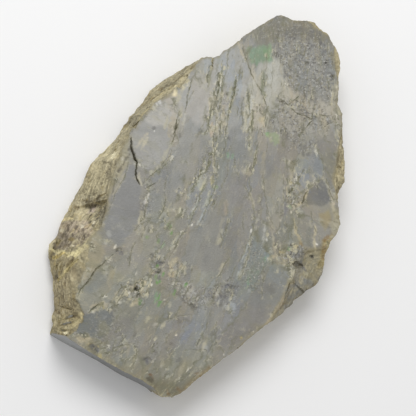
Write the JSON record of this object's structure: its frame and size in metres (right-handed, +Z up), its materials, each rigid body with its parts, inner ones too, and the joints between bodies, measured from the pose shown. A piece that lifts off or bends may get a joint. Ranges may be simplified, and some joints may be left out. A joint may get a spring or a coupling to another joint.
{
  "type": "labradorite slice",
  "caption": "Flat slice of grey-green labradorite rock with a lapped face, rough broken rind on its long sides and a sawn underside.",
  "frame": {"origin": "on the sawn underside, below the middle of the slice", "axes": "+Z up through the thickness to the lapped face, +Y along the slice to its narrow end, +X to the side opposite the broken sloping flank"},
  "size_m": [0.0772, 0.1199, 0.0125],
  "materials": {
    "labradorite": "lapped face with green schiller, brown weathered rind"
  },
  "bodies": {
    "root": {"labradorite_slice": "labradorite"}
  },
  "joints": []
}
